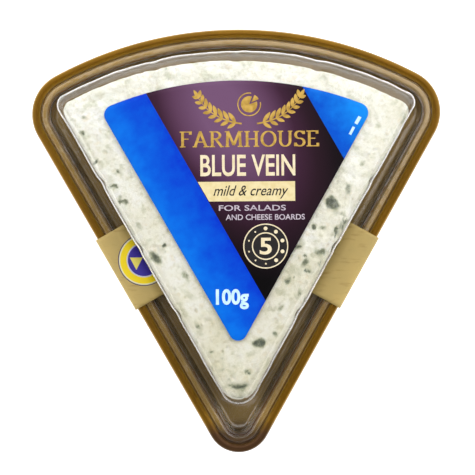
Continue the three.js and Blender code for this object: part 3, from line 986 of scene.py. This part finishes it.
def kraft_paper():
    """Kraft paper, machine glazed: tan, dull, with darker fibres and a printed round badge."""
    material, tree, output, place = new_material("brown_kraft_paper")
    cloud = add(tree, "ShaderNodeTexNoise", {"Vector": place, "Scale": 1 / 0.007, "Detail": 3.0})
    turned = add(tree, "ShaderNodeMapping", {"Vector": place, "Rotation": (0, 0, 0.5), "Scale": (1, 5, 1)})
    fibre = add(tree, "ShaderNodeTexNoise", {"Vector": turned.outputs[0], "Scale": 1 / 0.0045, "Detail": 6.0})
    pulp = tones([(0.35, "bfa664"), (0.65, "c9ae68")])
    tan = add(tree, RAMP, {"Fac": cloud.outputs["Fac"]}, pulp).outputs["Color"]
    fibres = tones([(0.28, "dacbb0"), (0.45, "ffffff")])
    dark = add(tree, RAMP, {"Fac": fibre.outputs["Fac"]}, fibres).outputs["Color"]
    paper = add(tree, "ShaderNodeMix", {0: 0.6, 6: tan, 7: dark}, data_type="RGBA", blend_type="MULTIPLY")
    flat = add(tree, "ShaderNodeVectorMath", {0: place, 1: (1.0, 1.0, 0.0)}, operation="MULTIPLY").outputs[0]
    centre = tuple(v * MM for v in BADGE)
    away = add(tree, "ShaderNodeVectorMath", {0: flat, 1: centre}, operation="DISTANCE").outputs["Value"]
    centimetres = add(tree, "ShaderNodeMath", {0: away, 1: 100.0}, operation="MULTIPLY").outputs[0]
    print_ramp = add(tree, RAMP, {"Fac": centimetres}, tones(BADGE_RINGS))
    print_ramp.color_ramp.interpolation = "CONSTANT"
    icon = ((BADGE[0] + ICON_SHIFT[0]) * MM, (BADGE[1] + ICON_SHIFT[1]) * MM, 0.0)
    offset = add(tree, "ShaderNodeVectorMath", {0: flat, 1: icon}, operation="SUBTRACT").outputs[0]
    part = add(tree, "ShaderNodeSeparateXYZ", {0: offset})
    width = add(tree, "ShaderNodeMath", {0: part.outputs["X"]}, operation="ABSOLUTE").outputs[0]
    steep = add(tree, "ShaderNodeMath", {0: width, 1: ICON_SLOPE}, operation="MULTIPLY").outputs[0]
    slope = add(tree, "ShaderNodeMath", {0: steep, 1: part.outputs["Y"]}, operation="SUBTRACT").outputs[0]
    below = add(tree, "ShaderNodeMath", {0: slope, 1: ICON_LOW * MM}, operation="LESS_THAN").outputs[0]
    above = add(
        tree, "ShaderNodeMath", {0: part.outputs["Y"], 1: ICON_HIGH * MM}, operation="LESS_THAN"
    ).outputs[0]
    wedge = add(tree, "ShaderNodeMath", {0: below, 1: above}, operation="MULTIPLY").outputs[0]
    marked = add(
        tree,
        "ShaderNodeMix",
        {0: wedge, 6: print_ramp.outputs["Color"], 7: srgb("f2e36a")},
        data_type="RGBA",
    ).outputs[2]
    height = add(tree, "ShaderNodeSeparateXYZ", {0: place}).outputs["Z"]
    on_top = add(
        tree, "ShaderNodeMath", {0: height, 1: FOLD_HEIGHT * MM}, operation="GREATER_THAN"
    ).outputs[0]
    inside = add(
        tree, "ShaderNodeMath", {0: away, 1: BADGE_RADIUS * MM}, operation="LESS_THAN"
    ).outputs[0]
    printed = add(tree, "ShaderNodeMath", {0: on_top, 1: inside}, operation="MULTIPLY").outputs[0]
    colour = add(
        tree, "ShaderNodeMix", {0: printed, 6: paper.outputs[2], 7: marked}, data_type="RGBA"
    ).outputs[2]
    bump = add(
        tree, "ShaderNodeBump", {"Height": fibre.outputs["Fac"], "Strength": 0.35, "Distance": 0.00008}
    )
    shader = add(
        tree,
        "ShaderNodeBsdfPrincipled",
        {"Base Color": colour, "Roughness": 0.62, "Normal": bump.outputs["Normal"]},
    )
    tree.links.new(shader.outputs[0], output.inputs["Surface"])
    return material


wrap = make_wrap(kraft_paper())
hand_over(wrap, "kraft_paper", "kraft_wrap_label")

# %% [markdown]
# ## The top label
#
# The top label is white polypropylene film, die-cut to a smaller wedge and stuck on the dome. A thin
# box with a boolean would do, but the same outline function already gives its shape, so it is five
# rings: a flat underside, a cut edge whose upper corner is just broken, and a flat top.

# %% Top label
LABEL_BOTTOM = LID_TOP + 0.02
LABEL_TOP = LID_TOP + 0.14
LABEL_EDGE = (18.9, 15.7, 2.7, 2.4)
BROKEN_EDGE = 0.03


def make_label(material):
    """A flat sheet: rings of the label's outline, closed by a pole on each face."""
    rings = []
    under = [(1.2, LABEL_BOTTOM), (0.0, LABEL_BOTTOM)]
    over = [(0.0, LABEL_TOP - BROKEN_EDGE), (BROKEN_EDGE, LABEL_TOP), (1.2, LABEL_TOP)]
    side, arc, corner, tip = LABEL_EDGE
    for inset, z in under + over:
        plan, _ = wedge_outline(side + inset, arc + inset, corner - inset, tip - inset)
        rings.append(np.column_stack([plan, np.full(len(plan), z)]))
    return ring_skin("printed_film_label", np.stack(rings), material, True, True)


print(f"label from {LABEL_BOTTOM:.2f} to {LABEL_TOP:.2f} mm above the table")

# %% [markdown]
# ## The label's print
#
# The film is printed in a few flat inks and varnished. Its print runs in bands parallel to the left
# side, so a single number places each point in the design: how far it is from the line of the left
# side. A printed picture would need an image, and that number needs only a dot product, so the bands
# stay sharp at any size. Blue lies left and right of an aubergine band, and the band glows in the
# middle of its upper half: a ramp over the distance from there, in a stretched frame. A little noise
# stands for the uneven wash of the inks.

# %% Printed film
BAND = (31.7, 68.4)
HALFWAY = 0.05
LEFT_SPAN = {"From Min": 0.0265, "From Max": 0.042}
RIGHT_SPAN = {"From Min": 0.0765, "From Max": 0.089}
LEFT_BLUES = [(0.0, "0470e2"), (0.4, "0058d6"), (1.0, "0030c8")]
RIGHT_BLUES = [(0.0, "0052ca"), (1.0, "0e8cf0")]
PLUMS = [(0.2, "715070"), (0.42, "5a3a55"), (0.56, "3b1f33")]
PLUMS += [(0.7, "281420"), (0.85, "150a11"), (1.0, "040204")]
GLOW_CENTRE = (-2.6, 33.0)
GLOW_SIZE = (28.0, 48.0)


def label_film():
    """White film printed in blue and aubergine with a lighter glow, under a satin varnish."""
    material, tree, output, place = new_material("printed_polypropylene_film")
    across = (math.cos(HALF_ANGLE), math.sin(HALF_ANGLE), 0.0)
    travel = add(tree, "ShaderNodeVectorMath", {0: place, 1: across}, operation="DOT_PRODUCT")
    from_side = add(
        tree,
        "ShaderNodeMath",
        {0: travel.outputs["Value"], 1: -across[1] * CROSSING_Y * MM},
        operation="ADD",
    ).outputs[0]
    wash = add(
        tree, "ShaderNodeTexNoise", {"Vector": place, "Scale": 1 / 0.0042, "Detail": 3.0, "Roughness": 0.6}
    )
    shifted = add(
        tree, "ShaderNodeMath", {0: wash.outputs["Fac"], 1: 0.016, 2: from_side}, operation="MULTIPLY_ADD"
    ).outputs[0]
    left_share = add(tree, "ShaderNodeMapRange", {"Value": shifted, **LEFT_SPAN}).outputs[0]
    left_blue = add(tree, RAMP, {"Fac": left_share}, tones(LEFT_BLUES)).outputs["Color"]
    right_share = add(tree, "ShaderNodeMapRange", {"Value": shifted, **RIGHT_SPAN}).outputs[0]
    right_blue = add(tree, RAMP, {"Fac": right_share}, tones(RIGHT_BLUES)).outputs["Color"]
    half = add(tree, "ShaderNodeMath", {0: from_side, 1: HALFWAY}, operation="GREATER_THAN").outputs[0]
    blue = add(tree, "ShaderNodeMix", {0: half, 6: left_blue, 7: right_blue}, data_type="RGBA").outputs[2]
    glow = add(
        tree,
        "ShaderNodeMapping",
        {
            "Vector": place,
            "Location": (GLOW_CENTRE[0] * MM, GLOW_CENTRE[1] * MM, LABEL_TOP * MM),
            "Rotation": (0.0, 0.0, HALF_ANGLE),
            "Scale": (GLOW_SIZE[0] * MM, GLOW_SIZE[1] * MM, 1.0),
        },
        vector_type="TEXTURE",
    )
    spread = add(tree, "ShaderNodeVectorMath", {0: glow.outputs[0]}, operation="LENGTH").outputs["Value"]
    plum = add(tree, RAMP, {"Fac": spread}, tones(PLUMS)).outputs["Color"]
    low = add(tree, "ShaderNodeMath", {0: from_side, 1: BAND[0] * MM}, operation="GREATER_THAN").outputs[0]
    high = add(tree, "ShaderNodeMath", {0: from_side, 1: BAND[1] * MM}, operation="LESS_THAN").outputs[0]
    inside = add(tree, "ShaderNodeMath", {0: low, 1: high}, operation="MULTIPLY").outputs[0]
    colour = add(tree, "ShaderNodeMix", {0: inside, 6: blue, 7: plum}, data_type="RGBA").outputs[2]
    height = add(tree, "ShaderNodeSeparateXYZ", {0: place}).outputs["Z"]
    top = add(
        tree, "ShaderNodeMath", {0: height, 1: (LABEL_TOP - 0.02) * MM}, operation="GREATER_THAN"
    ).outputs[0]
    print_on_top = add(
        tree, "ShaderNodeMix", {0: top, 6: srgb("e8eef4"), 7: colour}, data_type="RGBA"
    ).outputs[2]
    bump = add(tree, "ShaderNodeBump", {"Height": wash.outputs["Fac"], "Strength": 0.15, "Distance": 0.00005})
    shader = add(
        tree,
        "ShaderNodeBsdfPrincipled",
        {
            "Base Color": print_on_top,
            "Roughness": 0.32,
            "Specular IOR Level": 0.08,
            "Normal": bump.outputs["Normal"],
        },
    )
    tree.links.new(shader.outputs[0], output.inputs["Surface"])
    return material


label = make_label(label_film())
hand_over(label, "printed_film", "top_label")

# %% [markdown]
# ## Inks on the label
#
# Lettering and line art are extra inks on top of the bands. Each is a flat mesh a few hundredths of a
# millimetre above the film, about as thick as a raised screen ink. A decal would need an image, and a
# mesh stays crisp. Six inks do for the whole label; each is a little uneven, as screen ink is.

# %% Inks
INK_BOTTOM = LABEL_TOP + 0.01
INK = 0.03


def ink(name, hex_code, metallic, roughness, tint):
    """Screen ink on film: a slightly uneven colour under the same satin varnish."""
    material, tree, output, place = new_material(name)
    patch = add(tree, "ShaderNodeTexNoise", {"Vector": place, "Scale": 1 / 0.0018, "Detail": 2.0})
    uneven = tones([(0.35, tint), (0.6, hex_code)])
    colour = add(tree, RAMP, {"Fac": patch.outputs["Fac"]}, uneven).outputs["Color"]
    shader = add(
        tree,
        "ShaderNodeBsdfPrincipled",
        {"Base Color": colour, "Metallic": metallic, "Roughness": roughness, "Specular IOR Level": 0.35},
    )
    tree.links.new(shader.outputs[0], output.inputs["Surface"])
    return material


def lay_ink(name, points, faces, material, level=0):
    """Puts flat shapes on the label as one piece; `level` stacks one ink on another."""
    points = np.asarray(points, float)
    depth = points[:, 2] if points.shape[1] == 3 else np.zeros(len(points))
    raised = INK_BOTTOM + INK * (level + 1) + depth
    flat = np.column_stack([points[:, :2], raised])
    piece = solidify(make_mesh(name, flat, faces, material, smooth=False), INK)
    hand_over(piece, "printed_film")
    return piece


gold = ink("gold_screen_ink", "d0a950", 0.25, 0.4, "b08a38")
cream = ink("cream_screen_ink", "f0e2c0", 0.0, 0.45, "e6d5ac")
pale_blue = ink("pale_blue_screen_ink", "d2f0ff", 0.0, 0.45, "bfe6fc")
straw = ink("straw_screen_ink", "ecdcaa", 0.0, 0.45, "e3d097")
lilac = ink("lilac_grey_screen_ink", "c9bdc8", 0.0, 0.45, "b5a8b6")
black = ink("black_screen_ink", "0b0508", 0.0, 0.4, "140a0e")
print("inks:", [m.name for m in (gold, cream, pale_blue, straw, lilac, black)])

# %% [markdown]
# ## Drawing with a ribbon
#
# Line art is drawn with one tool, a ribbon: a path with a width at each point. Roman capitals come from
# the same tool, because a broad pen makes upright strokes thick and level strokes thin. Strokes that
# cross would flicker if they lay in one plane, so each lies 2 thousandths of a millimetre over the last.

# %% Drawing tools
STROKE_LIFT = 0.002
LIFT_STEPS = 13


def ribbon(path, width):
    """Both edges of a stroke: path + and - width / 2 along its normal, as points and quad faces."""
    path = np.asarray(path, float)
    ahead = np.gradient(path, axis=0)
    ahead /= np.linalg.norm(ahead, axis=1, keepdims=True)
    half = np.broadcast_to(width, len(path))[:, None] / 2
    across = np.stack([-ahead[:, 1], ahead[:, 0]], axis=1) * half
    points = np.stack([path + across, path - across]).reshape(-1, 2)
    here = np.arange(len(path) - 1)
    faces = np.stack([here, here + len(path), here + len(path) + 1, here + 1], axis=1)
    return points, faces


def gather(shapes):
    """Many (points, faces) shapes as one, each lifted a little over the last, as wet strokes lie."""
    starts = np.cumsum([0] + [len(points) for points, _ in shapes])
    lifted = []
    for count, (points, _) in enumerate(shapes):
        lift = np.full(len(points), STROKE_LIFT * (count % LIFT_STEPS))
        lifted.append(np.column_stack([points, lift]))
    points = np.concatenate(lifted)
    faces = [(np.asarray(face) + first).tolist() for (_, many), first in zip(shapes, starts) for face in many]
    return points, faces


def bow(centre, radius_x, radius_y, first, last, count=24):
    """Part of an ellipse between two angles in degrees."""
    angle = np.radians(np.linspace(first, last, count))
    return np.array(centre) + np.column_stack([radius_x * np.cos(angle), radius_y * np.sin(angle)])


def line(*corners):
    """A polyline with each leg cut in eight, so that a ribbon keeps its width."""
    corners = np.array(corners, float)
    share = np.linspace(0, 1, 9)[1:, None]
    legs = [first + (last - first) * share for first, last in zip(corners, corners[1:])]
    return np.concatenate([corners[:1], *legs])


print("a quarter circle has", len(bow((0, 0), 1, 1, 0, 90)), "points")

# %% [markdown]
# ## Gold capitals
#
# Each letter is a few strokes in a box one unit high. The pen's rule gives the widths: thin plus the
# rest times how upright the stroke is. Thin level strokes at the feet and heads are the serifs.

# %% Gold capitals
PEN_THICK = 0.15
PEN_THIN = 0.07


def serif(x, y, reach=0.15):
    return line((x - reach, y), (x + reach, y))


def letter(sign):
    """Strokes of one capital in a box one unit high, and the width it takes."""
    foot, head = 0.035, 0.965
    if sign == "F":
        strokes = [line((0.2, 0), (0.2, 1)), line((0.2, head), (0.62, head)), line((0.2, 0.52), (0.52, 0.52))]
        strokes += [serif(0.2, foot), line((0.62, 1.0), (0.62, 0.8)), line((0.05, head), (0.2, head))]
        return strokes, 0.74
    if sign == "A":
        strokes = [line((0.12, 0), (0.42, 1)), line((0.4, 1), (0.74, 0)), line((0.22, 0.33), (0.62, 0.33))]
        return [*strokes, serif(0.12, foot, 0.12), serif(0.74, foot)], 0.86
    if sign == "R":
        strokes = [line((0.2, 0), (0.2, 1)), bow((0.36, 0.74), 0.26, 0.225, 100, -100)]
        strokes += [line((0.05, head), (0.36, head)), line((0.2, 0.52), (0.36, 0.52))]
        return [*strokes, line((0.38, 0.52), (0.72, 0)), serif(0.2, foot), serif(0.74, foot, 0.08)], 0.84
    if sign == "M":
        strokes = [line((0.16, 0), (0.2, 1)), line((0.88, 0), (0.84, 1))]
        strokes += [line((0.2, 1), (0.52, 0.12)), line((0.52, 0.12), (0.84, 1))]
        strokes += [serif(0.16, foot, 0.12), serif(0.88, foot), serif(0.14, head, 0.1), serif(0.9, head, 0.1)]
        return strokes, 1.06
    if sign == "H":
        strokes = [line((0.18, 0), (0.18, 1)), line((0.68, 0), (0.68, 1)), line((0.18, 0.5), (0.68, 0.5))]
        return [*strokes, *(serif(x, y) for x in (0.18, 0.68) for y in (foot, head))], 0.88
    if sign == "O":
        return [bow((0.46, 0.5), 0.36, 0.465, 0, 360, 48)], 0.92
    if sign == "U":
        strokes = [line((0.18, 1), (0.18, 0.36)), bow((0.44, 0.36), 0.26, 0.325, 180, 360)]
        strokes += [line((0.7, 0.36), (0.7, 1)), serif(0.18, head), serif(0.7, head, 0.12)]
        return strokes, 0.88
    if sign == "S":
        upper = bow((0.34, 0.74), 0.22, 0.225, 25, 270)
        lower = bow((0.34, 0.275), 0.24, 0.24, 90, -155)
        beaks = [line((0.55, 0.98), (0.55, 0.78)), line((0.11, 0.02), (0.11, 0.24))]
        return [np.concatenate([upper, lower[1:]]), *beaks], 0.66
    strokes = [line((0.2, 0), (0.2, 1)), line((0.05, head), (0.62, head)), line((0.05, foot), (0.66, foot))]
    strokes += [line((0.2, 0.51), (0.52, 0.51)), line((0.62, 1.0), (0.62, 0.8))]
    strokes += [line((0.66, 0.0), (0.66, 0.22))]
    return strokes, 0.76


def capitals(words, left, right, baseline, height):
    """A row of capitals fitted between two x values."""
    shapes = []
    pen = 0.0
    for sign in words:
        strokes, width = letter(sign)
        for stroke in strokes:
            ahead = np.gradient(stroke, axis=0)
            upright = np.abs(ahead[:, 1]) / np.linalg.norm(ahead, axis=1)
            shapes.append(ribbon(stroke + np.array([pen, 0.0]), PEN_THIN + (PEN_THICK - PEN_THIN) * upright))
        pen += width
    points, faces = gather(shapes)
    scale = np.array([(right - left) / pen, height, 1.0])
    return points * scale + np.array([left, baseline, 0.0]), faces


word_points, word_faces = capitals("FARMHOUSE", -15.2, 22.0, 24.85, 4.2)
lay_ink("gold_capitals", word_points, word_faces, gold)

# %% [markdown]
# ## Printed words and numbers
#
# The smaller words are set in Blender's own font. A text object is turned into a mesh and only then
# fitted to its place, so the finished piece stays at the origin like all the others. Two short strokes
# on the right blue panel stand for the batch code that a packing line prints there.

# %% Words in the built-in font
def type_outline(words, weight, shear):
    """The flat mesh of a text object, as points and faces."""
    data = bpy.data.curves.new("type", "FONT")
    data.body = words
    data.offset = weight
    data.shear = shear
    data.resolution_u = 4
    setting = bpy.data.objects.new("type", data)
    bpy.context.scene.collection.objects.link(setting)
    mesh = bpy.data.meshes.new_from_object(setting.evaluated_get(bpy.context.evaluated_depsgraph_get()))
    place = np.empty(len(mesh.vertices) * 3, np.float32)
    mesh.vertices.foreach_get("co", place)
    faces = [list(polygon.vertices) for polygon in mesh.polygons]
    bpy.data.objects.remove(setting)
    bpy.data.meshes.remove(mesh)
    bpy.data.curves.remove(data)
    return place.reshape(-1, 3)[:, :2].astype(float), faces


def set_type(name, words, left, right, baseline, height, material, weight=0.0, shear=0.0, level=0):
    """Words between two x values; `height` is the height of a capital H."""
    bpy.context.view_layer.update()
    capital, _ = type_outline("H", weight, 0.0)
    points, faces = type_outline(words, weight, shear)
    tall = height / np.ptp(capital[:, 1])
    wide = (right - left) / np.ptp(points[:, 0])
    foot = capital[:, 1].min()
    x = (points[:, 0] - points[:, 0].min()) * wide + left
    y = (points[:, 1] - foot) * tall + baseline
    return lay_ink(name, np.column_stack([x, y]), faces, material, level)


set_type("cream_words", "BLUE VEIN", -9.6, 15.5, 17.2, 5.6, cream, weight=0.016)
set_type("first_small_line", "FOR SALADS", -4.8, 12.9, 8.0, 1.45, lilac, weight=0.012)
set_type("second_small_line", "AND CHEESE BOARDS", -3.0, 17.9, 5.55, 1.45, lilac, weight=0.012)
set_type("weight_mark", "100g", -5.8, 2.9, -16.8, 4.1, pale_blue, weight=0.035)
code_marks = [ribbon(line((30.0, 27.9), (31.1, 29.9)), 0.7), ribbon(line((31.6, 30.7), (32.7, 32.6)), 0.9)]
lay_ink("batch_code_marks", *gather(code_marks), pale_blue)

# %% [markdown]
# ## The ribbon and the strength mark
#
# The straw ribbon carries a line of slanted type. The strength mark is two rings with ten dots between
# them, the first five larger, around a numeral: it tells how strong the cheese tastes. Both are a few
# flat shapes, so they are written out one by one.

# %% Ribbon and strength mark
def disc(centre, radius, count=24):
    """A filled circle as a fan from its middle."""
    rim = bow(centre, radius, radius, 0, 360 * (count - 1) / count, count)
    here = np.arange(count)
    faces = np.stack([here, (here + 1) % count, np.full(count, count)], axis=1)
    return np.vstack([rim, centre]), faces


ribbon_points = [(-10.3, 15.7), (-7.35, 10.5), (15.4, 10.5), (15.4, 15.7)]
lay_ink("straw_ribbon", ribbon_points, [(0, 1, 2, 3)], straw)
set_type("slanted_words", "mild & creamy", -6.2, 13.6, 12.0, 2.7, black, weight=0.004, shear=0.35, level=1)

MARK = (7.5, -1.4)
DOTS = 10
DOT_PATH = 4.65
mark_black = [disc(MARK, 5.75, 64)]
mark_cream = [ribbon(bow(MARK, 5.8, 5.8, 0, 360, 72), 0.3), ribbon(bow(MARK, 3.5, 3.5, 0, 360, 72), 0.32)]
for step in range(DOTS):
    turn = math.radians(90 - 360 / DOTS * step)
    spot = (MARK[0] + DOT_PATH * math.cos(turn), MARK[1] + DOT_PATH * math.sin(turn))
    mark_cream.append(disc(spot, 0.52 if step < 5 else 0.24, 12))
lay_ink("strength_mark_ground", *gather(mark_black), black)
lay_ink("strength_mark_rings", *gather(mark_cream), cream, level=1)
set_type("strength_numeral", "5", 5.9, 9.1, -3.6, 4.4, cream, weight=0.02, level=1)


# %% [markdown]
# ## The emblem
#
# The emblem is a wheel of cheese with a slice taken out, between two sprays of leaves. A leaf is a
# ribbon whose width is a sine along its length, and a spray is a bent stem with a leaf to each side at
# every fifth step, shorter towards the end. The left spray is the right one mirrored, with its faces
# turned back so that they still point up.

# %% Emblem
SPRAY_MIDDLE = np.array([3.45, 31.0])
WHEEL_CENTRE = np.array([3.45, 36.1])
WHEEL_RADIUS = 2.15
STEM_STEPS = 40


def leaf(root, turn, length, width):
    """A leaf from its root: straight axis, width times the sine of the share travelled."""
    share = np.linspace(0.02, 0.98, 12)
    axis = np.column_stack([math.cos(turn) * share, math.sin(turn) * share]) * length
    return ribbon(np.array(root) + axis, width * np.sin(math.pi * share) ** 0.8)


def spray(side):
    """A bent stem with leaves on both sides; `side` is 1 for right and -1 for left."""
    stem = bow((0.0, 11.5), 14.6, 11.6, -82, -24, STEM_STEPS)
    shapes = [ribbon(stem, np.linspace(0.45, 0.15, STEM_STEPS))]
    ahead = np.gradient(stem, axis=0)
    heading = np.arctan2(ahead[:, 1], ahead[:, 0])
    for at in range(4, STEM_STEPS, 5):
        reach = 3.6 - 0.035 * at
        shapes.append(leaf(stem[at], heading[at] + 0.75, reach, 1.05))
        shapes.append(leaf(stem[at], heading[at] - 0.75, reach * 0.8, 0.95))
    shapes.append(leaf(stem[-1], heading[-1], 2.6, 0.9))
    mirror = np.array([side, 1.0])
    return [(p * mirror + SPRAY_MIDDLE, f if side > 0 else f[:, ::-1]) for p, f in shapes]


def sector(tip, first, last, count):
    """A filled slice of the wheel between two angles, as a fan from its tip."""
    rim = bow(tip, WHEEL_RADIUS, WHEEL_RADIUS, first, last, count)
    here = np.arange(count - 1)
    return np.vstack([rim, tip]), np.stack([here, here + 1, np.full(count - 1, count)], axis=1)


def wheel():
    """A ring and a disc with a slice missing, then the slice a little way out."""
    slice_tip = WHEEL_CENTRE + np.array([0.55, 0.5])
    body = sector(WHEEL_CENTRE, 70, 380, 60)
    piece = sector(slice_tip, 24, 66, 12)
    return [body, piece, ribbon(bow(WHEEL_CENTRE, 3.0, 3.0, 80, 370, 60), 0.28)]


lay_ink("gold_emblem", *gather([*spray(1), *spray(-1), *wheel()]), gold)

# %% [markdown]
# ## The floor
#
# The floor is a white sweep: one large matt sheet that also glows a little, so that it stays white
# where the boxes don't reach.

# %% Floor
FLOOR_SPAN = 3000.0


def make_floor():
    """A square of 2 x FLOOR_SPAN millimetres at the table's height."""
    material, tree, output, place = new_material("white_sweep")
    shader = add(
        tree,
        "ShaderNodeBsdfPrincipled",
        {
            "Base Color": srgb("f0f0f0"),
            "Roughness": 0.8,
            "Emission Color": srgb("ffffff"),
            "Emission Strength": 0.7,
        },
    )
    tree.links.new(shader.outputs[0], output.inputs["Surface"])
    span = FLOOR_SPAN
    corners = [(-span, -span, 0.0), (span, -span, 0.0), (span, span, 0.0), (-span, span, 0.0)]
    return make_mesh("floor", corners, [(0, 1, 2, 3)], material, smooth=False)


make_floor()
